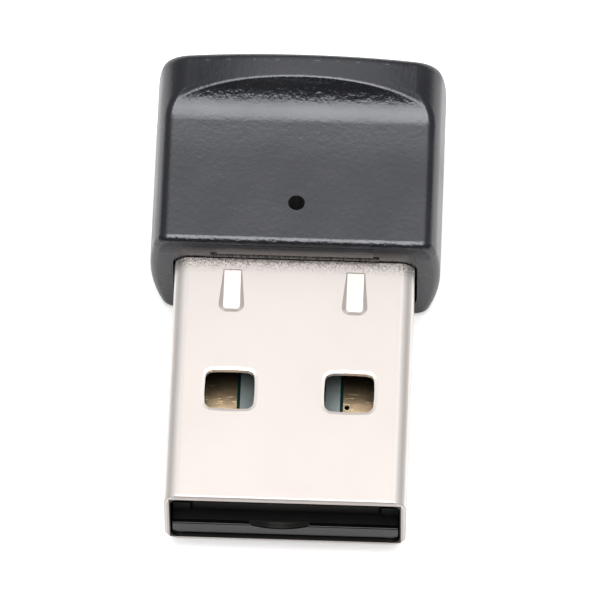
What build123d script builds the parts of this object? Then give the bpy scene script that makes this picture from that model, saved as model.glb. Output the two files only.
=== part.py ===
from build123d import *
from math import atan, cos, radians, sin
import os

# A small plug-in radio adapter: a folded metal plug with a moulded cap on its rear end.
# Millimetres. X is the width, Y runs from the plug's mouth to the back of the cap, Z is up.
# The origin is on the cap's underside, at the middle of the width and of the length.

os.makedirs("parts", exist_ok=True)

# Plug shell, folded from sheet metal
plug_width = 12.0
plug_height = 4.5
plug_reach = 13.6
shell_tail = 3.4
sheet = 0.3
shell_bend = 0.75
mouth_round = 0.15
window_width = 2.38
window_length = 2.08
window_spacing = 5.95
window_from_mouth = 6.15
window_bow = 0.06
window_corner = 0.4
window_roll_width = 0.16
window_roll_depth = 0.04
bead_spacing = 6.15
bead_before_face = 2.8
bead_length = 2.1
bead_floor_width = 0.83
bead_flank_angle = 52.0
bead_corner = 0.2
bead_depth = 0.19
bead_fade = 0.04
bead_skin = 0.2
seam_gap = 0.06
seam_depth = 0.12
seam_key_places = (3.4, 9.4)
seam_key_width = 0.9
seam_key_length = 1.6
seam_key_flare = 0.3
light_notch_width = 3.0
light_notch_from_face = 1.3

# Cap over the rear of the board
side_wall = 1.28
deck_wall = 1.6
scoop_rise = 1.28
cap_length = 10.96
waist_height = 4.05
crown_radius = 22.0
side_bow = 12.0
rear_bow = 14.0
shoulder_round = 1.8
foot_round = 0.85
rear_round = 0.55
front_round = 0.36
rim_round = 0.6
scoop_angle = 65.0
rim_from_rear = 2.0
plug_base = 1.05
pinhole_diameter = 0.84
pinhole_from_face = 2.35
rear_wall = 1.35
pocket_fit = 0.12
tongue_width = 7.8
tongue_setback = 0.12
tongue_lip = 0.26
slot_width = 0.32
slot_height = 0.36
slot_depth = 3.0
catch_width = 1.3
catch_length = 0.7
catch_height = 0.3
catch_from_face = 1.75
catch_fit = 0.15
ledge_width = 0.9
ledge_fit = 0.05
ledge_from_tail = 0.3

# Tray that carries the board inside the shell
tray_fit = 0.1
tray_setback = 0.15
tray_before_step = 0.55
tray_thickness = 1.15
tray_rail = 0.85
bar_height = 1.15
bar_round = 0.08
board_gap = 0.05
foot_width = 0.5
foot_height = 0.25
foot_length = 0.45
dip_width = 2.9
dip_depth = 0.36
dip_length = 0.2
dip_from_middle = 0.3

# Circuit board and the contacts on it
board_thickness = 0.8
board_from_mouth = 0.95
board_side_fit = 0.2
board_step_before_face = 0.9
board_step_round = 0.2
board_end_fit = 0.25
contact_thickness = 0.06
contacts_before_face = 4.2
contact_corner = 0.12
outer_contact_width = 1.7
outer_contact_edge = 0.35
outer_contact_front = 1.05
inner_contact_width = 1.2
inner_contact_spacing = 2.0
inner_contact_front = 2.1
via_diameter = 0.26
via_from_edge = 0.2
via_from_mouth = 6.45

# Parts soldered to the board
radio_side = 5.0
radio_height = 0.85
radio_before_face = 1.2
chip_round = 0.08
dimple_diameter = 0.5
dimple_depth = 0.08
dimple_inset = 0.75
crystal_length = 3.2
crystal_width = 2.5
crystal_height = 0.75
crystal_base = 0.3
crystal_rim = 0.15
memory_length = 2.9
memory_width = 1.6
memory_height = 1.1
memory_lead_width = 0.35
memory_lead_reach = 0.6
memory_lead_thickness = 0.15
memory_lead_pitch = 0.95
memory_standoff = 0.1
filter_size = (2.0, 1.25, 0.95)
led_size = (1.6, 0.8, 0.3)
led_lens_length = 1.0
led_lens_height = 0.35
led_lens_round = 0.1
capacitor_size = (1.0, 0.5, 0.5)
resistor_size = (1.0, 0.5, 0.35)
inductor_size = (1.6, 0.8, 0.8)
terminal_share = 0.26
terminal_step = 0.02
antenna_thickness = 0.06
antenna_line = 0.45
antenna_pitch = 1.0
antenna_turns = 8
antenna_gap = 0.6
antenna_edge = 0.4
solder_leg = 0.45
solder_length = 1.4
solder_from_face = 0.5

# Places on the board: share of half its width, millimetres behind the cap's face, degrees turned
memory_place = (-0.68, 3.6, 0)
filter_place = (0.19, 4.3, 0)
crystal_place = (0.71, 3.6, 90)
inductor_place = (0.68, 0.6, 90)
capacitor_places = [
    (-0.68, -3.3, 0),
    (-0.68, -2.1, 0),
    (-0.68, -0.9, 0),
    (-0.71, 0.6, 90),
    (0.68, -3.3, 0),
    (0.68, -2.1, 0),
    (0.36, 2.4, 90),
]
resistor_places = [
    (-0.29, 4.2, 90),
    (-0.13, 4.2, 90),
    (-0.29, 2.4, 90),
    (0.68, -1.0, 0),
]

# Places that follow from the sizes above
mouth_y = -(plug_reach + cap_length) / 2
face_y = mouth_y + plug_reach
rear_y = face_y + cap_length
tail_y = face_y + shell_tail
plug_top = plug_base + plug_height
plug_middle = plug_base + plug_height / 2
deck_height = plug_top + deck_wall
crown_height = deck_height + scoop_rise
cap_width = plug_width + 2 * side_wall
scoop_radius = scoop_rise / (1 - cos(radians(scoop_angle)))
scoop_front = rear_y - rim_from_rear - scoop_radius * sin(radians(scoop_angle))
shell_floor = plug_base + sheet
shell_inner_width = plug_width - 2 * sheet
shell_inner_bend = shell_bend - sheet
tray_width = shell_inner_width - 2 * tray_fit
tray_slot = tray_width - 2 * tray_rail
front_board_width = tray_slot - 2 * board_gap
rear_board_width = shell_inner_width - 2 * board_side_fit
board_base = shell_floor + tray_thickness
board_top = board_base + board_thickness
pocket_width = plug_width + 2 * pocket_fit
pocket_height = plug_height + 2 * pocket_fit
pocket_floor = plug_base - pocket_fit
pocket_ceiling = plug_top + pocket_fit
pocket_end = rear_y - rear_wall
board_end = pocket_end - board_end_fit
board_step_y = face_y - board_step_before_face
contact_end = face_y - contacts_before_face
antenna_front = face_y + crystal_place[1] + crystal_length / 2 + antenna_gap
led_y = face_y + pinhole_from_face
catch_y = face_y + catch_from_face
full_width = 2 * cap_width


def end_view(y):
    # Plane across the length at y: local x is the width and local y is the height.
    return Plane.XZ.offset(-y)


def board_plane(x, y, turn=0):
    # Plane on top of the board at x, y, turned about the vertical by so many degrees.
    direction = (cos(radians(turn)), sin(radians(turn)), 0)
    return Plane(origin=(x, y, board_top), x_dir=direction, z_dir=(0, 0, 1))


def part_plane(place):
    # Plane on top of the board at a soldered part's place.
    share, behind_face, turn = place
    return board_plane(share * rear_board_width / 2, face_y + behind_face, turn)


def save(solid, name):
    solid.label = name
    export_step(solid, f"parts/{name}.step")


def bead_floor(x, skin):
    # Floor of a pressed bead, or of the sheet below it: it slopes down to a rounded front end.
    slope = (bead_depth - bead_fade) / bead_length
    rear = (x, face_y - bead_before_face + bead_length, plug_top - bead_fade - skin)
    length = bead_length / cos(atan(slope)) + skin
    width = bead_floor_width + 2 * skin
    with BuildSketch(Plane(origin=rear, x_dir=(1, 0, 0), z_dir=(0, -slope, 1))) as floor:
        Rectangle(width, length, align=(Align.CENTER, Align.MAX))
        fillet(floor.vertices().group_by(Axis.Y)[0], bead_corner + skin)
    return floor.sketch


def window_face():
    # One window: four slightly bowed sides with rounded corners.
    half_x, half_y = window_width / 2, window_length / 2
    corners = [(-half_x, -half_y), (half_x, -half_y), (half_x, half_y), (-half_x, half_y)]
    with BuildSketch() as window:
        with BuildLine():
            for start, end in zip(corners, corners[1:] + corners[:1]):
                SagittaArc(start, end, -window_bow)
        make_face()
        fillet(window.vertices(), window_corner)
    return window.sketch


def seam_points():
    # Run of the seam along the shell's underside, with one dovetail at each key.
    points = [(0, mouth_y - sheet)]
    for place in seam_key_places:
        start = mouth_y + place
        end = start + seam_key_length
        points.append((0, start + seam_key_flare))
        points.append((seam_key_width, start))
        points.append((seam_key_width, end))
        points.append((0, end - seam_key_flare))
    points.append((0, tail_y + sheet))
    return points


# Housing: bowed body, thumb scoop, pocket for the plug and the rear of the board
with BuildPart() as housing:
    with BuildSketch(end_view(face_y)) as end_section:
        with Locations((0, crown_height - crown_radius)):
            Circle(crown_radius)
        for side in (-1, 1):
            with Locations((side * (cap_width / 2 - side_bow), waist_height)):
                Circle(side_bow, mode=Mode.INTERSECT)
        with Locations((0, crown_height / 2)):
            Rectangle(cap_width, crown_height, mode=Mode.INTERSECT)
        fillet(end_section.vertices().group_by(Axis.Y)[0], foot_round)
        fillet(end_section.vertices().group_by(Axis.Y)[-1], shoulder_round)
    extrude(amount=-cap_length)

    with BuildSketch(Plane.YZ):
        with Locations((rear_y - rear_bow, waist_height)):
            Circle(rear_bow)
        with Locations((face_y + cap_length / 2, crown_height / 2)):
            Rectangle(cap_length, crown_height, mode=Mode.INTERSECT)
    extrude(amount=full_width, both=True, mode=Mode.INTERSECT)
    rear_face = housing.faces().filter_by(GeomType.CYLINDER).sort_by(Axis.Y)[-1]
    fillet(rear_face.edges(), rear_round)

    with BuildSketch(Plane.YZ):
        with BuildLine():
            deck = Line((mouth_y, deck_height), (scoop_front, deck_height))
            ramp = JernArc(deck @ 1, deck % 1, scoop_radius, scoop_angle)
            lift = Line(ramp @ 1, (ramp @ 1) + (0, crown_height))
            back = Line(lift @ 1, (mouth_y, (lift @ 1).Y))
            Line(back @ 1, deck @ 0)
        make_face()
    extrude(amount=full_width, both=True, mode=Mode.SUBTRACT)
    long_edges = housing.edges().filter_by(Axis.Y)
    deck_sides = long_edges.filter_by_position(
        Axis.Z, deck_height - rim_round, deck_height + rim_round
    )
    fillet(deck_sides, rim_round)
    front_face = housing.faces().sort_by(Axis.Y)[0]
    fillet(front_face.outer_wire().edges(), front_round)

    with BuildSketch(end_view(face_y)):
        with Locations((0, plug_middle)):
            RectangleRounded(pocket_width, pocket_height, shell_bend + pocket_fit)
    extrude(amount=face_y - pocket_end, mode=Mode.SUBTRACT)

    # Snap tongue over the opening: a slot at each end, a set-back lip and two catches
    with BuildSketch(end_view(face_y)):
        with Locations((0, pocket_ceiling)):
            with GridLocations(tongue_width + slot_width, 1, 2, 1):
                Rectangle(slot_width, 2 * slot_height)
    extrude(amount=-slot_depth, mode=Mode.SUBTRACT)
    with BuildSketch(end_view(face_y)):
        with Locations((0, pocket_ceiling)):
            Rectangle(tongue_width, 2 * tongue_lip)
    extrude(amount=-tongue_setback, mode=Mode.SUBTRACT)
    for side in (-1, 1):
        with BuildSketch(Plane.YZ.offset(side * bead_spacing / 2)):
            with Locations((catch_y, pocket_ceiling)):
                Polygon(
                    (0, pocket_fit),
                    (0, 0),
                    (catch_length, -catch_height),
                    (catch_length, pocket_fit),
                    align=None,
                )
        extrude(amount=catch_width / 2, both=True)

    # Ledges under the rear of the board
    ledge_y = tail_y + ledge_from_tail
    with BuildSketch(Plane.XY.offset(pocket_floor)):
        with Locations((0, (ledge_y + pocket_end) / 2)):
            with GridLocations(pocket_width - ledge_width, 1, 2, 1):
                Rectangle(ledge_width, pocket_end - ledge_y)
    extrude(amount=board_base - ledge_fit - pocket_floor)

    # Pinhole for the light
    with BuildSketch(Plane.XY.offset(deck_height)):
        with Locations((0, led_y)):
            Circle(pinhole_diameter / 2)
    extrude(amount=plug_middle - deck_height, mode=Mode.SUBTRACT)

save(housing.part, "housing")


# Plug shell: one folded sheet with windows, pressed beads and a dovetailed seam
with BuildPart() as plug_shell:
    for side in (-1, 1):
        pressed = bead_floor(side * bead_spacing / 2, bead_skin)
        extrude(pressed, amount=bead_depth, taper=-bead_flank_angle)
    split(bisect_by=Plane.XY.offset(plug_top - sheet / 2), keep=Keep.BOTTOM)
    with BuildSketch(end_view(mouth_y)):
        with Locations((0, plug_middle)):
            RectangleRounded(plug_width, plug_height, shell_bend)
            RectangleRounded(
                shell_inner_width,
                plug_height - 2 * sheet,
                shell_inner_bend,
                mode=Mode.SUBTRACT,
            )
    extrude(amount=-(plug_reach + shell_tail))
    mouth_face = plug_shell.faces().sort_by(Axis.Y)[0]
    fillet(mouth_face.outer_wire().edges(), mouth_round)

    with BuildSketch(Plane.XY.offset(plug_top)):
        with Locations((0, mouth_y + window_from_mouth)):
            with GridLocations(window_spacing, 1, 2, 1):
                add(window_face())
    extrude(amount=-plug_height, mode=Mode.SUBTRACT)
    flat_faces = plug_shell.faces().filter_by(Axis.Z).sort_by(Axis.Z)
    for flat_face in (flat_faces[0], flat_faces[-1]):
        chamfer(
            flat_face.inner_wires().edges(),
            window_roll_width,
            window_roll_depth,
            reference=flat_face,
        )

    # Beads deepen from nothing near the cap to their full depth at the front
    for side in (-1, 1):
        hollow = bead_floor(side * bead_spacing / 2, 0)
        extrude(hollow, amount=2 * bead_depth, taper=-bead_flank_angle, mode=Mode.SUBTRACT)

    # Tail inside the cap: openings for the catches and a notch that lets the light out
    with BuildSketch(Plane.XY.offset(plug_top)):
        with Locations((0, catch_y + catch_length / 2)):
            with GridLocations(bead_spacing, 1, 2, 1):
                Rectangle(catch_width + 2 * catch_fit, catch_length + 2 * catch_fit)
        notch_y = face_y + light_notch_from_face
        with Locations((0, (notch_y + tail_y) / 2)):
            Rectangle(light_notch_width, tail_y - notch_y)
    extrude(amount=plug_middle - plug_top, mode=Mode.SUBTRACT)

    with BuildSketch(Plane.XY.offset(plug_base)):
        with BuildLine():
            Polyline(*seam_points())
        trace(line_width=seam_gap)
    extrude(amount=seam_depth, mode=Mode.SUBTRACT)

save(plug_shell.part, "plug_shell")


# Tray: front bar on two feet, floor and side rails round the front of the board
with BuildPart() as plug_carrier:
    tray_front = mouth_y + tray_setback
    tray_end = board_step_y - tray_before_step
    bar_end = mouth_y + board_from_mouth - board_gap
    with BuildSketch(end_view(bar_end)) as tray_section:
        with Locations((0, shell_floor)):
            Rectangle(
                tray_width,
                tray_thickness + board_thickness,
                align=(Align.CENTER, Align.MIN),
            )
        fillet(tray_section.vertices().group_by(Axis.Y)[0], shell_inner_bend)
        with Locations((0, board_base)):
            Rectangle(
                tray_slot,
                board_thickness,
                align=(Align.CENTER, Align.MIN),
                mode=Mode.SUBTRACT,
            )
    extrude(amount=bar_end - tray_end)

    with BuildSketch(end_view(tray_front)) as bar_section:
        with Locations((0, shell_floor)):
            Rectangle(tray_width, bar_height, align=(Align.CENTER, Align.MIN))
        fillet(bar_section.vertices().group_by(Axis.Y)[0], shell_inner_bend)
    extrude(amount=tray_front - bar_end)
    with BuildSketch(end_view(tray_front)):
        dip_radius = (dip_width**2 / 4 + dip_depth**2) / (2 * dip_depth)
        dip_middle = shell_floor + bar_height - dip_depth + dip_radius
        with Locations((-dip_from_middle, dip_middle)):
            Circle(dip_radius)
    extrude(amount=-dip_length, mode=Mode.SUBTRACT)
    bar_face = plug_carrier.faces().sort_by(Axis.Y)[0]
    fillet(bar_face.edges().group_by(Axis.Z)[-1], bar_round)

    with BuildSketch(end_view(tray_front)):
        with Locations((0, shell_floor)):
            Rectangle(tray_width - 2 * foot_width, 2 * foot_height)
    extrude(amount=-foot_length, mode=Mode.SUBTRACT)

save(plug_carrier.part, "plug_carrier")


# Circuit board: narrow inside the tray, wider inside the cap
front_length = board_step_y - mouth_y - board_from_mouth
ground_x = front_board_width / 2 - outer_contact_edge - outer_contact_width / 2
via_x = ground_x - outer_contact_width / 2 + via_from_edge
via_y = mouth_y + via_from_mouth
with BuildPart() as circuit_board:
    with BuildSketch(Plane.XY.offset(board_base)) as board_outline:
        with Locations((0, board_step_y)):
            Rectangle(front_board_width, front_length, align=(Align.CENTER, Align.MAX))
            Rectangle(
                rear_board_width,
                board_end - board_step_y,
                align=(Align.CENTER, Align.MIN),
            )
        fillet(board_outline.vertices(), board_step_round)
        with Locations((via_x, via_y)):
            Circle(via_diameter / 2, mode=Mode.SUBTRACT)
    extrude(amount=board_thickness)

save(circuit_board.part, "circuit_board")


def contact(x, width, front):
    # One plated contact that runs back from its front end.
    start = mouth_y + front
    with BuildPart() as pad:
        with BuildSketch(board_plane(x, (start + contact_end) / 2)):
            RectangleRounded(width, contact_end - start, contact_corner)
        extrude(amount=contact_thickness)
        if x == ground_x:
            with BuildSketch(board_plane(via_x, via_y)):
                Circle(via_diameter / 2)
            extrude(amount=contact_thickness, mode=Mode.SUBTRACT)
    return pad.part


for name, x, width, front in (
    ("power_contact", -ground_x, outer_contact_width, outer_contact_front),
    ("data_minus_contact", -inner_contact_spacing / 2, inner_contact_width, inner_contact_front),
    ("data_plus_contact", inner_contact_spacing / 2, inner_contact_width, inner_contact_front),
    ("ground_contact", ground_x, outer_contact_width, outer_contact_front),
):
    save(contact(x, width, front), name)


# Radio chip: flat square package with a dimple at its first pin
radio_plane = board_plane(0, face_y - radio_before_face)
with BuildPart() as radio_chip:
    with BuildSketch(radio_plane):
        Rectangle(radio_side, radio_side)
    extrude(amount=radio_height)
    chamfer(radio_chip.faces().sort_by(Axis.Z)[-1].edges(), chip_round)
    dimple = dimple_inset - radio_side / 2
    with BuildSketch(radio_plane.offset(radio_height)):
        with Locations((dimple, dimple)):
            Circle(dimple_diameter / 2)
    extrude(amount=-dimple_depth, mode=Mode.SUBTRACT)

save(radio_chip.part, "radio_chip")


# Memory chip: small package on bent leads, two on one side and three on the other
memory_plane = part_plane(memory_place)
memory_x, memory_y = memory_plane.origin.X, memory_plane.origin.Y
with BuildPart() as memory_chip:
    with BuildSketch(memory_plane.offset(memory_standoff)):
        Rectangle(memory_length, memory_width)
    extrude(amount=memory_height - memory_standoff)
    chamfer(memory_chip.faces().sort_by(Axis.Z)[-1].edges(), chip_round)
    lead_top = memory_height / 2 + memory_lead_thickness
    for side, count in ((-1, 2), (1, 3)):
        for index in range(count):
            step = memory_lead_pitch * (4 - count)
            lead_x = memory_x + step * (index - (count - 1) / 2)
            with BuildSketch(Plane.YZ.offset(lead_x)):
                with Locations((memory_y, board_top)):
                    inner = side * memory_width / 2
                    knee = inner + side * memory_lead_reach / 2
                    toe = inner + side * memory_lead_reach
                    Polygon(
                        (inner, lead_top),
                        (knee, lead_top),
                        (knee + side * memory_lead_thickness, memory_lead_thickness),
                        (toe, memory_lead_thickness),
                        (toe, 0),
                        (knee, 0),
                        (knee - side * memory_lead_thickness, memory_height / 2),
                        (inner, memory_height / 2),
                        align=None,
                    )
            extrude(amount=memory_lead_width / 2, both=True)

save(memory_chip.part, "memory_chip")


# Crystal: ceramic base with a smaller metal lid
crystal_plane = part_plane(crystal_place)
with BuildPart() as crystal:
    with BuildSketch(crystal_plane):
        Rectangle(crystal_length, crystal_width)
    extrude(amount=crystal_base)
    with BuildSketch(crystal_plane.offset(crystal_base)):
        RectangleRounded(
            crystal_length - 2 * crystal_rim,
            crystal_width - 2 * crystal_rim,
            crystal_rim,
        )
    extrude(amount=crystal_height - crystal_base)
    chamfer(crystal.faces().sort_by(Axis.Z)[-1].edges(), chip_round)

save(crystal.part, "crystal")


# Status light: base with a clear lens, right under the pinhole
led_length, led_width, led_base = led_size
with BuildPart() as status_light:
    with BuildSketch(board_plane(0, led_y)):
        Rectangle(led_length, led_width)
    extrude(amount=led_base)
    with BuildSketch(board_plane(0, led_y).offset(led_base)):
        Rectangle(led_lens_length, led_width)
    extrude(amount=led_lens_height, taper=4)
    fillet(status_light.faces().sort_by(Axis.Z)[-1].edges(), led_lens_round)

save(status_light.part, "status_light")


def two_ended_part(place, size):
    # Small block with a plated end at each side, a little thicker than its middle.
    length, width, height = size
    with BuildPart() as part:
        with BuildSketch(part_plane(place)):
            Rectangle(length - terminal_share * length, width - 2 * terminal_step)
        extrude(amount=height - terminal_step)
        with BuildSketch(part_plane(place)):
            with GridLocations(length - terminal_share * length, 1, 2, 1):
                Rectangle(terminal_share * length, width)
        extrude(amount=height)
    return part.part


save(two_ended_part(filter_place, filter_size), "band_filter")

for kind, size, places in (
    ("capacitor", capacitor_size, capacitor_places),
    ("resistor", resistor_size, resistor_places),
    ("inductor", inductor_size, [inductor_place]),
):
    for number, place in enumerate(places, start=1):
        save(two_ended_part(place, size), f"{kind}_{number}")


# Antenna: one raised track that runs to and fro at the rear of the board
track_rear = board_end - antenna_edge - antenna_line / 2
track_front = antenna_front + antenna_line / 2
antenna_x = antenna_pitch * antenna_turns / 2
track = [(-antenna_x, track_front)]
for turn in range(antenna_turns):
    track_y = track_rear if turn % 2 == 0 else track_front
    track.append((-antenna_x + turn * antenna_pitch, track_y))
    track.append((-antenna_x + (turn + 1) * antenna_pitch, track_y))
with BuildPart() as antenna:
    with BuildSketch(Plane.XY.offset(board_top)):
        with BuildLine():
            Polyline(*track)
        trace(line_width=antenna_line)
    extrude(amount=antenna_thickness)

save(antenna.part, "antenna_track")


# Solder that joins the board's edges to the shell's side walls
for name, side in (("shell_solder_left", -1), ("shell_solder_right", 1)):
    wall_x = side * shell_inner_width / 2
    leg = side * solder_leg
    belly = solder_leg * (1 - cos(radians(45)))
    with BuildPart() as solder:
        with BuildSketch(end_view(face_y + solder_from_face)):
            with BuildLine():
                foot = Line((wall_x - leg, board_top), (wall_x, board_top))
                wall = Line(foot @ 1, (wall_x, board_top + solder_leg))
                hollow = (wall_x - side * belly, board_top + belly)
                ThreePointArc(wall @ 1, hollow, foot @ 0)
            make_face()
        extrude(amount=-solder_length)
    save(solder.part, name)
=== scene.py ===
from math import cos, pi, radians, sin

import bpy
from mathutils import Matrix, Vector


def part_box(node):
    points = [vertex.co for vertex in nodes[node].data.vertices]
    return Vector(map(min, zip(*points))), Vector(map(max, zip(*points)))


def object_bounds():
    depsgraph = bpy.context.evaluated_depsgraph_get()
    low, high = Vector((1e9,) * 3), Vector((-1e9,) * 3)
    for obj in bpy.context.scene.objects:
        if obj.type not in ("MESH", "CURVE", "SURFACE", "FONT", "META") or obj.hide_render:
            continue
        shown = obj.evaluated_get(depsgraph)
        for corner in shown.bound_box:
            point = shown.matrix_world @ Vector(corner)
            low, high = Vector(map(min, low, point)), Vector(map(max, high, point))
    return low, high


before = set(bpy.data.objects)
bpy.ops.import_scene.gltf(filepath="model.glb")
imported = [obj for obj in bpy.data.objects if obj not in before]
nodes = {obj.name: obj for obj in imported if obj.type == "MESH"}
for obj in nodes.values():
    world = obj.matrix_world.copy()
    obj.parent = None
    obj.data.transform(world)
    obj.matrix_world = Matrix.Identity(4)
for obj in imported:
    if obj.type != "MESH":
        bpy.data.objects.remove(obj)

# A short plug-in radio adapter: metal plug, black moulded cap, board with gold contacts.
# Every form comes from the frame. This script gives it materials, a studio and the camera.
# Sizes in the dictionaries are millimetres, and mm turns them into metres.

mm = 0.001
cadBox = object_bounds()
mouthY = cadBox[0][1]
rearY = cadBox[1][1]
crownTop = cadBox[1][2]
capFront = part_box("housing")[0].y
print("frame loaded:", len(nodes), "nodes")


# Camera: it looks at a point on its axis from the photo's angles

cameraPlace = {
    "aim": (0.274, 0.405, 3.0),
    "distance": 508.3,
    "elevation": 61.387,
    "azimuth": -2.687,
    "roll": -0.645,
    "lens": 607.7,
    "nearest": 10.0,
}


def placeCamera(place):
    elevation, azimuth = radians(place["elevation"]), radians(place["azimuth"])
    level = cos(elevation)
    forward = Vector((level * sin(azimuth), level * cos(azimuth), -sin(elevation)))
    flatRight = forward.cross(Vector((0, 0, 1))).normalized()
    flatUp = flatRight.cross(forward)
    roll = radians(place["roll"])
    right = flatRight * cos(roll) + flatUp * sin(roll)
    up = right.cross(forward)
    camera = bpy.data.objects.new("photoCamera", bpy.data.cameras.new("photoCamera"))
    spot = Vector(place["aim"]) * mm - forward * place["distance"] * mm
    turned = Matrix((right, up, -forward)).transposed().to_4x4()
    camera.matrix_world = Matrix.Translation(spot) @ turned
    camera.data.lens = place["lens"]
    camera.data.clip_start = place["nearest"] * mm
    bpy.context.scene.collection.objects.link(camera)
    bpy.context.scene.camera = camera


placeCamera(cameraPlace)
bpy.context.scene.view_settings.view_transform = "Standard"
print("camera placed")


# Small tools for node trees

mixSockets = {"FLOAT": (2, 3, 0), "VECTOR": (4, 5, 1), "RGBA": (6, 7, 2)}


def rgb(red, green, blue):
    return (red, green, blue, 1.0)


def metres(sizes):
    return tuple(size * mm for size in sizes)


def fill(tree, node, sockets):
    # Each socket gets a link, or a value of its own.
    for key, value in sockets.items():
        if isinstance(value, bpy.types.NodeSocket):
            tree.links.new(value, node.inputs[key])
        else:
            node.inputs[key].default_value = value


def put(tree, kind, sockets=None, **settings):
    # One node: settings are its own properties, sockets are values or links.
    made = tree.nodes.new("ShaderNode" + kind)
    for key, value in settings.items():
        setattr(made, key, value)
    fill(tree, made, sockets or {})
    return made


def calc(tree, operation, *values):
    return put(tree, "Math", dict(enumerate(values)), operation=operation).outputs[0]


def product(tree, first, *others):
    for value in others:
        first = calc(tree, "MULTIPLY", first, value)
    return first


def vectorCalc(tree, operation, *values):
    # DISTANCE gives a number, and the other operations used here give a vector.
    made = put(tree, "VectorMath", dict(enumerate(values)), operation=operation)
    return made.outputs["Value" if operation == "DISTANCE" else "Vector"]


def split(tree, vector):
    return put(tree, "SeparateXYZ", {0: vector}).outputs


def join(tree, **parts):
    return put(tree, "CombineXYZ", parts).outputs[0]


def span(tree, value, low, high, toLow=0.0, toHigh=1.0, smooth=True):
    # Carries value from low..high to toLow..toHigh and stops at the ends.
    sockets = {
        "Value": value,
        "From Min": low,
        "From Max": high,
        "To Min": toLow,
        "To Max": toHigh,
    }
    kind = "SMOOTHSTEP" if smooth else "LINEAR"
    return put(tree, "MapRange", sockets, interpolation_type=kind).outputs[0]


def blend(tree, kind, factor, first, second):
    # A Mix node has a pair of inputs and an output for each kind of value.
    start, end, result = mixSockets[kind]
    return put(tree, "Mix", {0: factor, start: first, end: second}, data_type=kind).outputs[result]


def blendColour(tree, factor, first, second):
    return blend(tree, "RGBA", factor, first, second)


def faceNormal(tree):
    return put(tree, "NewGeometry").outputs["Normal"]


def bump(tree, height, depth, share=1.0, under=None):
    # Normal of a surface raised by height times depth millimetres, on top of the normal under.
    sockets = {"Height": height, "Distance": depth * mm, "Strength": share}
    if under is not None:
        sockets["Normal"] = under
    return put(tree, "Bump", sockets).outputs[0]


# Surface effects as node groups, each built once

effects = {
    "lumpWidth": 2.5,
    "driftCut": (0.3, 0.7),
    "lineWander": 0.6,
}


def openGroup(name, inputs, output):
    # A node group with named sockets: its tree, its inputs and the output node to fill.
    group = bpy.data.node_groups.new(name, "ShaderNodeTree")
    for label, value in inputs.items():
        kind = "NodeSocketVector" if value is None else "NodeSocketFloat"
        socket = group.interface.new_socket(label, in_out="INPUT", socket_type=kind)
        if value is not None:
            socket.default_value = value
    group.interface.new_socket(output, in_out="OUTPUT", socket_type="NodeSocketFloat")
    start = group.nodes.new("NodeGroupInput")
    end = group.nodes.new("NodeGroupOutput")
    return group, start.outputs, end


def useGroup(tree, group, **sockets):
    made = put(tree, "Group", node_tree=group)
    fill(tree, made, sockets)
    return made.outputs[0]


def buildSparkGrain():
    # Height is noise of one cell size plus Coarse times noise of lumps lumpWidth cells wide.
    inputs = {"Vector": None, "Cell": 0.0001, "Coarse": 0.5}
    group, start, end = openGroup("sparkGrain", inputs, "Height")
    scale = calc(group, "DIVIDE", 1.0, start["Cell"])
    fine = put(group, "TexNoise", {"Vector": start["Vector"], "Scale": scale, "Detail": 1.0})
    wide = calc(group, "DIVIDE", scale, effects["lumpWidth"])
    lumps = put(group, "TexNoise", {"Vector": start["Vector"], "Scale": wide, "Detail": 0.0})
    height = calc(group, "MULTIPLY_ADD", lumps.outputs[0], start["Coarse"], fine.outputs[0])
    fill(group, end, {"Height": height})
    return group


def buildDrift():
    # Factor is wide noise cut at driftCut: it changes slowly, as hand marks and plating do.
    group, start, end = openGroup("drift", {"Vector": None, "Size": 0.004}, "Factor")
    scale = calc(group, "DIVIDE", 1.0, start["Size"])
    cloud = put(group, "TexNoise", {"Vector": start["Vector"], "Scale": scale, "Detail": 4.0})
    fill(group, end, {"Factor": span(group, cloud.outputs[0], *effects["driftCut"])})
    return group


def buildHairlines():
    # Mask is noise stretched along X and cut off between Low and High, so that only thin
    # broken lines remain.
    inputs = {"Vector": None, "Gap": 0.0002, "Stretch": 8.0, "Low": 0.7, "High": 0.8}
    group, start, end = openGroup("hairlines", inputs, "Mask")
    squeeze = join(group, X=calc(group, "DIVIDE", 1.0, start["Stretch"]), Y=1.0, Z=1.0)
    sockets = {
        "Vector": vectorCalc(group, "MULTIPLY", start["Vector"], squeeze),
        "Scale": calc(group, "DIVIDE", 1.0, start["Gap"]),
        "Detail": 1.0,
        "Distortion": effects["lineWander"],
    }
    lines = put(group, "TexNoise", sockets).outputs[0]
    fill(group, end, {"Mask": span(group, lines, start["Low"], start["High"])})
    return group


sparkGrain = buildSparkGrain()
driftGroup = buildDrift()
hairlines = buildHairlines()


def grain(tree, place, cell, coarse):
    return useGroup(tree, sparkGrain, Vector=place, Cell=cell * mm, Coarse=coarse)


def drift(tree, place, size):
    return useGroup(tree, driftGroup, Vector=place, Size=size * mm)


def openMaterial(name):
    # A material with one Principled shader, and its tree and object coordinates.
    material = bpy.data.materials.new(name)
    material.use_nodes = True
    tree = material.node_tree
    tree.nodes.clear()
    shader = put(tree, "BsdfPrincipled")
    put(tree, "OutputMaterial", {"Surface": shader.outputs[0]})
    return material, tree, shader, put(tree, "TexCoord").outputs["Object"]


# Cap: black plastic with a fine spark texture, coarser in the scoop and on the front edge

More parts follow.
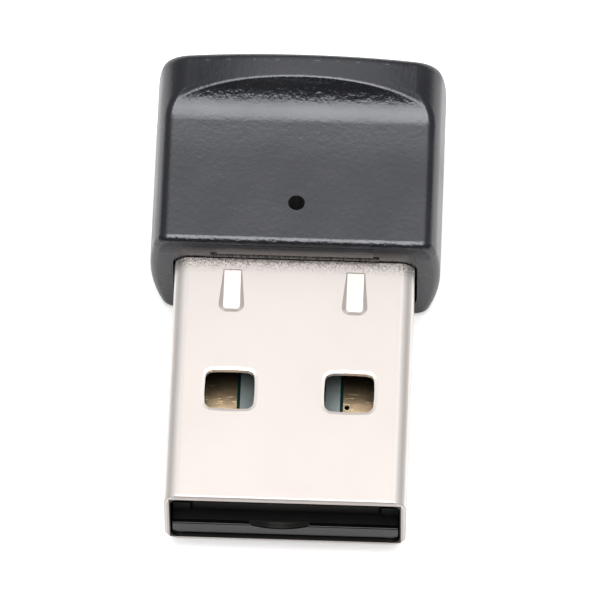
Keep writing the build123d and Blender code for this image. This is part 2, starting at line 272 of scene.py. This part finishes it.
capFinish = {
    "colour": rgb(0.013, 0.0135, 0.017),
    "worn": rgb(0.016, 0.0165, 0.02),
    "driftSize": 3.0,
    "roughness": (0.24, 0.29),
    "specular": 0.85,
    "tint": rgb(0.94, 0.95, 1.0),
    "grainCell": 0.1,
    "grainCoarse": 1.0,
    "grainDepth": 0.006,
    "pebbleCell": 0.18,
    "pebbleCoarse": 0.6,
    "pebbleDepth": 0.045,
    # sizes of the cap's own shape
    "scoopRise": 1.28,
    "scoopAngle": 65.0,
    "crownRadius": 22.0,
    "rearBow": 14.0,
    "waistHeight": 4.05,
    # front face: crowned, and painted with a warm reflection of the plug below it
    "frontTurn": (-0.999, -0.97),
    "leanHeights": (5.75, 6.8),
    "leanMiddle": (0.0, 0.6),
    "leanEnds": (0.03, 0.5),
    "leanEdge": (3.88, 4.0),
    "plugReflection": rgb(0.42, 0.385, 0.355),
    "reflectionHeights": (5.6, 6.55),
    "warmAside": 0.6,
    "reflectionEdge": (5.5, 6.1),
    # rounding between the front face and the deck
    "edgeShare": 0.7,
    "edgeStart": (0.05, 0.25),
    "edgeEnd": (0.9, 0.98),
    "edgeRear": 3.0,
    "edgeFoot": 6.3,
    # deck: it dips towards the scoop
    "deckTurn": (0.97, 0.999),
    "deckDip": (5.8, 8.1),
    "deckLean": (0.0, -0.045),
    "deckOver": 0.2,
    "deckUnder": 0.05,
    # scoop, all of it behind scoopAfter: rough in its steep part, duller at its foot
    "scoopAfter": 5.0,
    "scoopSlope": (0.4, 0.62),
    "scoopAside": (0.01, 0.05),
    "footRough": 0.05,
    "footTop": (7.5, 7.9),
    # crisp rim behind the scoop
    "rimDepth": (0.04, 0.2),
    "rimTurn": (-0.03, -0.005),
    "rimAside": (0.15, 0.3),
    # pinhole: its inside painted near black as shade
    "holeWall": (0.43, 0.45),
    "holeTop": 0.03,
    "holeShade": rgb(0.001, 0.001, 0.001),
    # broken pale line along the mould's parting: a painted highlight
    "partingGlint": rgb(0.09, 0.09, 0.095),
    "partingInset": 0.4,
    "partingWidth": (0.02, 0.05),
    "partingHeights": (7.6, 7.9),
    "partingCell": 0.5,
    "partingCut": (0.5, 0.66),
}
deckTop = crownTop - capFinish["scoopRise"] * mm


def frontShare(tree, normal, finish):
    # One where the normal points straight to the front.
    return span(tree, split(tree, normal)["Y"], *finish["frontTurn"], 1.0, 0.0)


def paintedPlugReflection(tree, facing, place, finish):
    # Painted reflection: the front face's colour is lightened as if it caught the plug's light;
    # its share grows downwards over reflectionHeights, is warmAside past leanEdge, and ends at
    # reflectionEdge.
    parts = split(tree, place)
    across = calc(tree, "ABSOLUTE", parts["X"])
    grown = span(tree, parts["Z"], *metres(finish["reflectionHeights"]), 1.0, 0.0, smooth=False)
    aside = span(tree, across, *metres(finish["leanEdge"]), 1.0, finish["warmAside"])
    inside = span(tree, across, *metres(finish["reflectionEdge"]), 1.0, 0.0)
    return product(tree, facing, grown, aside, inside)


def leanNormal(tree, normal, facing, place, finish):
    # The front face is a little crowned: its normal gains an upward part that grows with
    # height. The deck dips towards the scoop: its normal gains a forward part that grows with
    # the distance from the front. Faces turned any other way keep their own normal.
    parts = split(tree, place)
    low, high = metres(finish["leanHeights"])
    middle = span(tree, parts["Z"], low, high, *finish["leanMiddle"], smooth=False)
    ends = span(tree, parts["Z"], low, high, *finish["leanEnds"], smooth=False)
    aside = span(tree, calc(tree, "ABSOLUTE", parts["X"]), *metres(finish["leanEdge"]))
    lean = blend(tree, "FLOAT", aside, middle, ends)
    flat = span(tree, split(tree, normal)["Z"], *finish["deckTurn"])
    under = calc(tree, "LESS_THAN", parts["Z"], deckTop + finish["deckOver"] * mm)
    dip = span(tree, parts["Y"], *metres(finish["deckDip"]), *finish["deckLean"])
    push = join(tree, Y=product(tree, flat, under, dip), Z=product(tree, facing, lean))
    return vectorCalc(tree, "NORMALIZE", vectorCalc(tree, "ADD", normal, push))


def rimNormal(tree, normal, place, finish):
    # The rim behind the scoop is crisper than the deck's sides: over rimDepth below the crown
    # the normal turns from the crown's own to the ramp's own. The crown is an arc across X.
    # The ramp's tilt is the angle with cosine one less the height above the deck over the
    # ramp's radius.
    parts, turned = split(tree, place), split(tree, normal)
    radius = finish["crownRadius"] * mm
    aside = calc(tree, "DIVIDE", parts["X"], radius)
    level = calc(tree, "SQRT", calc(tree, "SUBTRACT", 1.0, calc(tree, "POWER", aside, 2.0)))
    crown = join(tree, X=aside, Z=level)
    surface = calc(tree, "MULTIPLY_ADD", level, radius, crownTop - radius)
    depth = calc(tree, "SUBTRACT", surface, parts["Z"])
    rise = calc(tree, "SUBTRACT", parts["Z"], deckTop)
    rampRadius = finish["scoopRise"] * mm / (1 - cos(radians(finish["scoopAngle"])))
    upright = calc(tree, "SUBTRACT", 1.0, calc(tree, "DIVIDE", rise, rampRadius))
    forward = calc(tree, "SQRT", calc(tree, "SUBTRACT", 1.0, calc(tree, "POWER", upright, 2.0)))
    ramp = join(tree, Y=calc(tree, "MULTIPLY", forward, -1.0), Z=upright)
    crisp = blend(tree, "VECTOR", span(tree, depth, *metres(finish["rimDepth"])), crown, ramp)
    share = product(
        tree,
        span(tree, turned["Y"], *finish["rimTurn"], 1.0, 0.0),
        span(tree, calc(tree, "ABSOLUTE", turned["X"]), *finish["rimAside"], 1.0, 0.0),
        calc(tree, "GREATER_THAN", parts["Y"], finish["scoopAfter"] * mm),
        calc(tree, "GREATER_THAN", rise, -finish["deckUnder"] * mm),
    )
    return vectorCalc(tree, "NORMALIZE", blend(tree, "VECTOR", share, normal, crisp))


def footShare(tree, place, finish):
    # One around the foot of the scoop: behind deckDip and below footTop.
    parts = split(tree, place)
    behind = span(tree, parts["Y"], *metres(finish["deckDip"]))
    below = span(tree, parts["Z"], *metres(finish["footTop"]), 1.0, 0.0)
    above = calc(tree, "GREATER_THAN", parts["Z"], deckTop - finish["deckUnder"] * mm)
    return product(tree, behind, below, above)


def edgeShare(tree, normal, place, finish):
    # Up to edgeShare on the rounding between the deck and the front face.
    forward = calc(tree, "MULTIPLY", split(tree, normal)["Y"], -1.0)
    start = span(tree, forward, *finish["edgeStart"], 0.0, finish["edgeShare"])
    end = span(tree, forward, *finish["edgeEnd"], 1.0, 0.0)
    parts = split(tree, place)
    before = calc(tree, "LESS_THAN", parts["Y"], finish["edgeRear"] * mm)
    above = calc(tree, "GREATER_THAN", parts["Z"], finish["edgeFoot"] * mm)
    return product(tree, start, end, before, above)


def holeShadeShare(tree, place, finish):
    # One inside the pinhole, whose colour is painted near black as shade: nearer its axis than
    # holeWall, and below the deck.
    low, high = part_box("status_light")
    axis = Vector(((low.x + high.x) / 2, (low.y + high.y) / 2, 0))
    parts = split(tree, place)
    away = vectorCalc(tree, "DISTANCE", join(tree, X=parts["X"], Y=parts["Y"]), axis)
    near = span(tree, away, *metres(finish["holeWall"]), 1.0, 0.0)
    deep = calc(tree, "LESS_THAN", parts["Z"], deckTop - finish["holeTop"] * mm)
    return product(tree, near, deep)


def scoopShare(tree, normal, place, finish):
    # One on the steep part of the scoop, whose normal leans forward and never sideways.
    parts = split(tree, normal)
    steep = span(tree, calc(tree, "MULTIPLY", parts["Y"], -1.0), *finish["scoopSlope"])
    straight = span(tree, calc(tree, "ABSOLUTE", parts["X"]), *finish["scoopAside"], 1.0, 0.0)
    behind = calc(tree, "GREATER_THAN", split(tree, place)["Y"], finish["scoopAfter"] * mm)
    return product(tree, steep, straight, behind)


def partingGlintLine(tree, place, finish):
    # Share of the painted highlight, a broken pale line along the mould's parting at the top of
    # the rear rounding: a thin band that follows the rear face's bow partingInset in front of it,
    # cut up by noise across X.
    parts = split(tree, place)
    bow = finish["rearBow"] * mm
    rise = calc(tree, "SUBTRACT", parts["Z"], finish["waistHeight"] * mm)
    reach = calc(tree, "SQRT", calc(tree, "SUBTRACT", bow * bow, calc(tree, "POWER", rise, 2.0)))
    line = calc(tree, "ADD", reach, rearY - bow - finish["partingInset"] * mm)
    away = calc(tree, "ABSOLUTE", calc(tree, "SUBTRACT", parts["Y"], line))
    band = span(tree, away, *metres(finish["partingWidth"]), 1.0, 0.0)
    above = span(tree, parts["Z"], *metres(finish["partingHeights"]))
    scale = 1 / (finish["partingCell"] * mm)
    across = join(tree, X=parts["X"])
    cuts = put(tree, "TexNoise", {"Vector": across, "Scale": scale, "Detail": 2.0}).outputs[0]
    return product(tree, band, above, span(tree, cuts, *finish["partingCut"]))


def capPlastic(finish):
    material, tree, shader, place = openMaterial("capPlastic")
    normal = faceNormal(tree)
    facing = frontShare(tree, normal, finish)
    hole = holeShadeShare(tree, place, finish)
    worn = drift(tree, place, finish["driftSize"])
    colour = blendColour(tree, worn, finish["colour"], finish["worn"])
    # Painted highlight: a broken pale glint along the mould's parting line
    colour = blendColour(tree, partingGlintLine(tree, place, finish), colour, finish["partingGlint"])
    # Painted reflection of the plug, warm, on the lower front face
    plugReflectionShare = paintedPlugReflection(tree, facing, place, finish)
    colour = blendColour(tree, plugReflectionShare, colour, finish["plugReflection"])
    # Painted shade: the pinhole's inside near black
    colour = blendColour(tree, hole, colour, finish["holeShade"])
    rough = span(tree, worn, 0.0, 1.0, *finish["roughness"])
    rough = calc(tree, "MULTIPLY_ADD", footShare(tree, place, finish), finish["footRough"], rough)
    rough = calc(tree, "MAXIMUM", rough, hole)
    normal = rimNormal(tree, normal, place, finish)
    share = calc(tree, "MAXIMUM", scoopShare(tree, normal, place, finish),
                 edgeShare(tree, normal, place, finish))
    pebbles = grain(tree, place, finish["pebbleCell"], finish["pebbleCoarse"])
    sparks = grain(tree, place, finish["grainCell"], finish["grainCoarse"])
    normal = leanNormal(tree, normal, facing, place, finish)
    normal = bump(tree, pebbles, finish["pebbleDepth"], share, normal)
    normal = bump(tree, sparks, finish["grainDepth"], 1.0, normal)
    fill(tree, shader, {
        "Base Color": colour,
        "Roughness": rough,
        "Specular IOR Level": finish["specular"],
        "Specular Tint": finish["tint"],
        "Normal": normal,
    })
    return material


# Plug shell: satin nickel plate with painted highlights on its bends and painted shade inside,
# rubbed rough and speckled where it meets the cap, darker there as painted shade, with a painted
# shadow in the gap at the cap

steelFinish = {
    "colour": rgb(0.64, 0.585, 0.555),
    "shade": rgb(0.615, 0.56, 0.53),
    "driftSize": 5.0,
    "metallic": 0.5,
    "roughness": (0.37, 0.41),
    "grainCell": 0.08,
    "grainCoarse": 1.0,
    "grainDepth": 0.0012,
    # bends and sides get a painted highlight, and the inner faces get painted shade
    "side": rgb(0.98, 0.94, 0.9),
    "sideTurn": (0.8, 0.93),
    "bendTurn": (0.06, 0.3, 0.38, 0.72),
    "bendHighlightShare": 0.68,
    "inside": rgb(0.02, 0.018, 0.017),
    "insideHalves": (5.75, 1.96),
    # rubbed strip in front of the cap, its specks painted darker towards the cap as shade, and a
    # painted shadow in the gap at the cap
    "rubReach": (0.1, 0.95),
    "rubCell": 0.045,
    "rubCoarse": 0.3,
    "rubDepth": 0.004,
    "rubRoughness": -0.08,
    "rubCut": (0.61, 0.73),
    "rubShade": (0.0, 0.9),
    "speckAndShade": rgb(0.1, 0.095, 0.09),
    "seam": rgb(0.004, 0.004, 0.004),
    "seamReach": (0.03, 0.09),
    "seamBehind": 0.02,
}


def bendHighlightShare(tree, finish):
    # Share of the painted highlight round the plug's bends: one on its sides, by sideTurn of the
    # normal's sideways part, and bendHighlightShare in a hump between the four slopes of bendTurn.
    aside = calc(tree, "ABSOLUTE", split(tree, faceNormal(tree))["X"])
    start, full, past, end = finish["bendTurn"]
    hump = product(tree, span(tree, aside, start, full),
                   span(tree, aside, past, end, finish["bendHighlightShare"], 0.0))
    return calc(tree, "MAXIMUM", hump, span(tree, aside, *finish["sideTurn"]))


def rubbedAndShadedColour(tree, colour, rubbed, specks, ahead, finish):
    # In front of the cap the plate is speckled: the share of speckAndShade is the rubbed share
    # times a cut of the grain, kept within rubShade, so the specks grow darker towards the cap as
    # painted shade. The last bit before the cap is a painted gap shadow.
    cut = span(tree, specks, *finish["rubCut"], *finish["rubShade"])
    speckled = blendColour(tree, product(tree, rubbed, cut), colour, finish["speckAndShade"])
    seam = span(tree, ahead, *metres(finish["seamReach"]), 1.0, 0.0)
    outside = calc(tree, "GREATER_THAN", ahead, -finish["seamBehind"] * mm)
    return blendColour(tree, product(tree, seam, outside), speckled, finish["seam"])


def insideShare(tree, place, finish):
    # One within insideHalves of the plug's axis, which only the inner faces are; there the plate
    # is painted dark as shade.
    low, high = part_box("plug_shell")
    parts = split(tree, place)
    wide, tall = metres(finish["insideHalves"])
    aside = calc(tree, "ABSOLUTE", parts["X"])
    rise = calc(tree, "ABSOLUTE", calc(tree, "SUBTRACT", parts["Z"], (low.z + high.z) / 2))
    return product(tree, calc(tree, "LESS_THAN", aside, wide), calc(tree, "LESS_THAN", rise, tall))


def platedSteel(finish):
    material, tree, shader, place = openMaterial("platedSteel")
    uneven = drift(tree, place, finish["driftSize"])
    ahead = calc(tree, "SUBTRACT", capFront, split(tree, place)["Y"])
    rubbed = span(tree, ahead, *metres(finish["rubReach"]), 1.0, 0.0)
    specks = grain(tree, place, finish["rubCell"], finish["rubCoarse"])
    colour = blendColour(tree, uneven, finish["colour"], finish["shade"])
    # Painted highlight on the bends and sides
    colour = blendColour(tree, bendHighlightShare(tree, finish), colour, finish["side"])
    # Rubbed specks, painted darker towards the cap as shade, and a painted gap shadow
    colour = rubbedAndShadedColour(tree, colour, rubbed, specks, ahead, finish)
    # Painted shade on the inner faces
    colour = blendColour(tree, insideShare(tree, place, finish), colour, finish["inside"])
    rough = span(tree, uneven, 0.0, 1.0, *finish["roughness"])
    rough = calc(tree, "MULTIPLY_ADD", rubbed, finish["rubRoughness"], rough)
    sparks = grain(tree, place, finish["grainCell"], finish["grainCoarse"])
    normal = bump(tree, specks, finish["rubDepth"], rubbed)
    normal = bump(tree, sparks, finish["grainDepth"], 1.0, normal)
    fill(tree, shader, {
        "Base Color": colour,
        "Metallic": finish["metallic"],
        "Roughness": rough,
        "Normal": normal,
    })
    return material


# Plain moulded, fired and metal finishes of the small parts

smallFinishes = {
    "chipPlastic": {
        "colour": rgb(0.028, 0.028, 0.03),
        "shade": rgb(0.04, 0.04, 0.042),
        "metallic": 0.0,
        "roughness": (0.55, 0.63),
        "grainCell": 0.05,
        "grainDepth": 0.001,
    },
    "copperTrack": {
        "colour": rgb(0.45, 0.33, 0.16),
        "shade": rgb(0.35, 0.28, 0.14),
        "metallic": 0.0,
        "roughness": (0.3, 0.38),
        "grainCell": 0.08,
        "grainDepth": 0.0006,
    },
    "crystalCan": {
        "colour": rgb(0.75, 0.73, 0.7),
        "shade": rgb(0.65, 0.63, 0.6),
        "metallic": 1.0,
        "roughness": (0.25, 0.33),
        "grainCell": 0.05,
        "grainDepth": 0.0004,
    },
    "ceramicBlock": {
        "colour": rgb(0.55, 0.42, 0.3),
        "shade": rgb(0.48, 0.36, 0.26),
        "metallic": 0.0,
        "roughness": (0.5, 0.58),
        "grainCell": 0.05,
        "grainDepth": 0.0008,
    },
    "lightLens": {
        "colour": rgb(0.75, 0.8, 0.85),
        "shade": rgb(0.7, 0.76, 0.8),
        "metallic": 0.0,
        "roughness": (0.15, 0.23),
        "grainCell": 0.1,
        "grainDepth": 0.0003,
    },
    "solder": {
        "colour": rgb(0.7, 0.7, 0.7),
        "shade": rgb(0.6, 0.6, 0.6),
        "metallic": 1.0,
        "roughness": (0.2, 0.28),
        "grainCell": 0.2,
        "grainDepth": 0.002,
    },
}
smallGrain = {"driftSize": 1.0, "grainCoarse": 0.5}


def smallPartMaterial(name, finish):
    material, tree, shader, place = openMaterial(name)
    uneven = drift(tree, place, smallGrain["driftSize"])
    height = grain(tree, place, finish["grainCell"], smallGrain["grainCoarse"])
    fill(tree, shader, {
        "Base Color": blendColour(tree, uneven, finish["colour"], finish["shade"]),
        "Metallic": finish["metallic"],
        "Roughness": span(tree, uneven, 0.0, 1.0, *finish["roughness"]),
        "Normal": bump(tree, height, finish["grainDepth"]),
    })
    return material


# Tray: black plastic whose bar is seen in the mouth

trayFinish = {
    "colour": rgb(0.004, 0.004, 0.005),
    "shade": rgb(0.007, 0.007, 0.008),
    "driftSize": 1.0,
    "roughness": (0.2, 0.85),
    "grainCell": 0.06,
    "grainCoarse": 0.5,
    "grainDepth": 0.0008,
    "barFace": (0.38, 0.44),
    "dishLight": rgb(0.03, 0.031, 0.028),
    "dishFront": (0.2, 0.26),
    "dishMiddle": -0.3,
    "dishHalf": 1.5,
}


def trayPlastic(finish):
    # The bar's face at the mouth is smooth, and all behind it is dull. The shallow dish in the
    # face is painted a little paler, as painted light lifting its shade: between dishFront and
    # barFace, within dishHalf of its middle.
    material, tree, shader, place = openMaterial("trayPlastic")
    parts = split(tree, place)
    behind = calc(tree, "SUBTRACT", parts["Y"], mouthY)
    low, high = metres(finish["barFace"])
    aside = calc(tree, "SUBTRACT", parts["X"], finish["dishMiddle"] * mm)
    # Painted light: mask of the paler dish
    dishLight = product(
        tree,
        span(tree, behind, *metres(finish["dishFront"])),
        span(tree, behind, low, high, 1.0, 0.0),
        calc(tree, "LESS_THAN", calc(tree, "ABSOLUTE", aside), finish["dishHalf"] * mm),
    )
    uneven = drift(tree, place, finish["driftSize"])
    colour = blendColour(tree, uneven, finish["colour"], finish["shade"])
    height = grain(tree, place, finish["grainCell"], finish["grainCoarse"])
    fill(tree, shader, {
        "Base Color": blendColour(tree, dishLight, colour, finish["dishLight"]),
        "Roughness": span(tree, behind, low, high, *finish["roughness"]),
        "Normal": bump(tree, height, finish["grainDepth"]),
    })
    return material


# Contacts: bronze-coloured plate with scratches, and a plated hole in the ground contact

goldFinish = {
    "colour": rgb(0.58, 0.44, 0.28),
    "shade": rgb(0.47, 0.34, 0.21),
    "driftSize": 0.8,
    "roughness": (0.28, 0.34),
    "grainCell": 0.12,
    "grainCoarse": 1.0,
    "grainDepth": 0.003,
    "scratch": rgb(0.68, 0.54, 0.35),
    "scratchGap": 0.09,
    "scratchStretch": 5.0,
    "scratchCut": (0.65, 0.73),
    "scratchDepth": 0.002,
    "holeFromEdge": 0.2,
    "holeFromMouth": 6.45,
    "holeRing": (0.17, 0.2),
}


def holeRing(tree, place, finish):
    # One at the ground contact's plated hole, out to holeRing.
    low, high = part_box("ground_contact")
    across = low.x + finish["holeFromEdge"] * mm
    middle = Vector((across, mouthY + finish["holeFromMouth"] * mm, high.z))
    away = vectorCalc(tree, "DISTANCE", place, middle)
    return span(tree, away, *metres(finish["holeRing"]), 1.0, 0.0)


def goldPlate(finish):
    material, tree, shader, place = openMaterial("goldPlate")
    uneven = drift(tree, place, finish["driftSize"])
    low, high = finish["scratchCut"]
    lines = useGroup(tree, hairlines, Vector=place, Gap=finish["scratchGap"] * mm,
                     Stretch=finish["scratchStretch"], Low=low, High=high)
    colour = blendColour(tree, uneven, finish["colour"], finish["shade"])
    colour = blendColour(tree, lines, colour, finish["scratch"])
    colour = blendColour(tree, holeRing(tree, place, finish), colour, finish["scratch"])
    sparks = grain(tree, place, finish["grainCell"], finish["grainCoarse"])
    normal = bump(tree, sparks, finish["grainDepth"])
    normal = bump(tree, lines, finish["scratchDepth"], 1.0, normal)
    fill(tree, shader, {
        "Base Color": colour,
        "Metallic": 1.0,
        "Roughness": span(tree, uneven, 0.0, 1.0, *finish["roughness"]),
        "Normal": normal,
    })
    return material


# Board: glossy green mask, dark round the contacts and bare at the mouth

boardFinish = {
    "mask": rgb(0.31, 0.36, 0.352),
    "maskShade": rgb(0.25, 0.295, 0.287),
    "driftSize": 2.0,
    "roughness": 0.1,
    "coatIndex": 2.0,
    "grainCell": 0.1,
    "grainCoarse": 0.4,
    "grainDepth": 0.0006,
    "groove": rgb(0.004, 0.03, 0.026),
    "grooveWidth": (0.15, 0.165),
    "bare": rgb(0.12, 0.085, 0.055),
    "bareReach": (0.2, 0.3),
    "shadedEdge": rgb(0.006, 0.005, 0.004),
    "edgeDrop": 0.02,
    "edgeRoughness": 0.8,
}


def buildContactRoom():
    # Room is the distance to the nearest contact: the larger of the two overhangs
    # of a point past a contact's half width and half length, the least of both kinds.
    group, start, end = openGroup("contactRoom", {"Vector": None}, "Room")
    parts = split(group, start["Vector"])
    across = calc(group, "ABSOLUTE", parts["X"])
    rooms = []
    for name in ("ground_contact", "data_plus_contact"):
        low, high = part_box(name)
        middle, half = (low + high) / 2, (high - low) / 2
        off = calc(group, "ABSOLUTE", calc(group, "SUBTRACT", across, middle.x))
        wide = calc(group, "SUBTRACT", off, half.x)
        off = calc(group, "ABSOLUTE", calc(group, "SUBTRACT", parts["Y"], middle.y))
        rooms.append(calc(group, "MAXIMUM", wide, calc(group, "SUBTRACT", off, half.y)))
    fill(group, end, {"Room": calc(group, "MINIMUM", *rooms)})
    return group


def boardMask(finish):
    # Edge is one below the top face, where the laminate is dull and has no clear coat; its
    # near-black colour there is painted shade.
    material, tree, shader, place = openMaterial("boardMask")
    low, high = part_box("circuit_board")
    parts = split(tree, place)
    uneven = drift(tree, place, finish["driftSize"])
    room = useGroup(tree, buildContactRoom(), Vector=place)
    groove = span(tree, room, *metres(finish["grooveWidth"]), 1.0, 0.0)
    near, far = metres(finish["bareReach"])
    bare = span(tree, parts["Y"], low.y + near, low.y + far, 1.0, 0.0)
    shadedEdge = calc(tree, "LESS_THAN", parts["Z"], high.z - finish["edgeDrop"] * mm)
    colour = blendColour(tree, uneven, finish["mask"], finish["maskShade"])
    colour = blendColour(tree, groove, colour, finish["groove"])
    colour = blendColour(tree, bare, colour, finish["bare"])
    # Painted shade on the board's edge
    colour = blendColour(tree, shadedEdge, colour, finish["shadedEdge"])
    height = grain(tree, place, finish["grainCell"], finish["grainCoarse"])
    fill(tree, shader, {
        "Base Color": colour,
        "Roughness": blend(tree, "FLOAT", shadedEdge, finish["roughness"], finish["edgeRoughness"]),
        "Coat Weight": calc(tree, "SUBTRACT", 1.0, shadedEdge),
        "Coat Roughness": finish["roughness"],
        "Coat IOR": finish["coatIndex"],
        "Normal": bump(tree, height, finish["grainDepth"]),
    })
    return material


# Which material each node wears

materials = {
    "capPlastic": capPlastic(capFinish),
    "platedSteel": platedSteel(steelFinish),
    "boardMask": boardMask(boardFinish),
}
for materialName, smallFinish in smallFinishes.items():
    materials[materialName] = smallPartMaterial(materialName, smallFinish)
materials["trayPlastic"] = trayPlastic(trayFinish)
materials["goldPlate"] = goldPlate(goldFinish)
wearers = {
    "capPlastic": ["housing"],
    "platedSteel": ["plug_shell"],
    "boardMask": ["circuit_board"],
    "trayPlastic": ["plug_carrier"],
    "chipPlastic": ["radio_chip", "memory_chip"] + [f"resistor_{n}" for n in range(1, 5)],
    "goldPlate": ["power_contact", "data_minus_contact", "data_plus_contact", "ground_contact"],
    "copperTrack": ["antenna_track"],
    "crystalCan": ["crystal"],
    "ceramicBlock": ["band_filter", "inductor_1"] + [f"capacitor_{n}" for n in range(1, 8)],
    "lightLens": ["status_light"],
    "solder": ["shell_solder_left", "shell_solder_right"],
}


def dress(name, material):
    slots = nodes[name].data.materials
    slots.clear()
    slots.append(material)


for materialName, names in wearers.items():
    for name in names:
        dress(name, materials[materialName])
print("materials built")


# Studio: a white floor, a dome that is bright overhead, and one soft lamp above the camera

studio = {
    "floorSize": 3000.0,
    "floorColour": rgb(0.9, 0.9, 0.9),
    "floorRoughness": 0.9,
    "floorLift": 0.5,
    "mirrorLift": 0.12,
    "domeTop": 1.05,
    "domeMiddle": 1.6,
    "domeRise": (0.15, 0.6),
    "domeSides": 0.22,
    "domeFront": 0.05,
    "horizon": 0.01,
    "sideEdge": (0.27, 0.62),
    "sideShift": 0.06,
    "frontEdge": (-0.45, -0.15),
    "rearEdge": (1.2, 3.0),
    "lampTilt": 11.5,
    "lampDistance": 400.0,
    "lampSize": (260.0, 370.0),
    "lampRadiance": 4.8,
}


def buildWorld(spec):
    # Across and along are the direction's slopes from the vertical. Radiance is domeTop in a
    # soft patch overhead, more towards its middle, domeSides beside and behind the patch, and
    # domeFront in front of it. The camera sees white.
    world = bpy.data.worlds.new("studioWorld")
    bpy.context.scene.world = world
    world.use_nodes = True
    tree = world.node_tree
    tree.nodes.clear()
    parts = split(tree, put(tree, "TexCoord").outputs["Generated"])
    height = calc(tree, "MAXIMUM", parts["Z"], spec["horizon"])
    across = calc(tree, "SUBTRACT", calc(tree, "DIVIDE", parts["X"], height), spec["sideShift"])
    along = calc(tree, "DIVIDE", parts["Y"], height)
    patch = product(tree, span(tree, calc(tree, "ABSOLUTE", across), *spec["sideEdge"], 1.0, 0.0),
                    span(tree, along, *spec["rearEdge"], 1.0, 0.0))
    top = span(tree, along, *spec["domeRise"], spec["domeMiddle"], spec["domeTop"])
    dome = blend(tree, "FLOAT", patch, spec["domeSides"], top)
    behind = span(tree, along, *spec["frontEdge"])
    dome = blend(tree, "FLOAT", behind, spec["domeFront"], dome)
    seen = put(tree, "LightPath").outputs["Is Camera Ray"]
    strength = blend(tree, "FLOAT", seen, dome, 1.0)
    light = put(tree, "Background", {"Color": rgb(1, 1, 1), "Strength": strength})
    put(tree, "OutputWorld", {0: light.outputs[0]})


def buildLamp(spec):
    # A plain rectangle above the part: it hangs lampTilt degrees from the vertical to the
    # front, and its face leans as many degrees to the front as well.
    width, length = metres(spec["lampSize"])
    lamp = bpy.data.lights.new("softLamp", "AREA")
    lamp.shape = "RECTANGLE"
    lamp.size, lamp.size_y = width, length
    lamp.energy = spec["lampRadiance"] * pi * width * length
    held = bpy.data.objects.new("softLamp", lamp)
    tilt = radians(spec["lampTilt"])
    away = Vector((0, -sin(tilt), cos(tilt)))
    held.location = away * spec["lampDistance"] * mm
    held.rotation_euler = (-tilt, 0, 0)
    bpy.context.scene.collection.objects.link(held)


def floorGlow(tree, spec):
    # The floor glows a little for the camera, and less in what a gloss or clear piece shows.
    rays = put(tree, "LightPath").outputs
    mirrored = calc(tree, "MAXIMUM", rays["Is Glossy Ray"], rays["Is Transmission Ray"])
    glow = calc(tree, "MULTIPLY", rays["Is Camera Ray"], spec["floorLift"])
    return calc(tree, "MULTIPLY_ADD", mirrored, spec["mirrorLift"], glow)


def buildFloor(spec):
    half = spec["floorSize"] * mm / 2
    mesh = bpy.data.meshes.new("floor")
    corners = [(-half, -half, 0), (half, -half, 0), (half, half, 0), (-half, half, 0)]
    mesh.from_pydata(corners, [], [(0, 1, 2, 3)])
    floor = bpy.data.objects.new("floor", mesh)
    bpy.context.scene.collection.objects.link(floor)
    material, tree, shader, place = openMaterial("floorPaint")
    fill(tree, shader, {
        "Base Color": spec["floorColour"],
        "Roughness": spec["floorRoughness"],
        "Emission Color": rgb(1, 1, 1),
        "Emission Strength": floorGlow(tree, spec),
    })
    mesh.materials.append(material)


buildWorld(studio)
buildLamp(studio)
buildFloor(studio)
print("studio built")
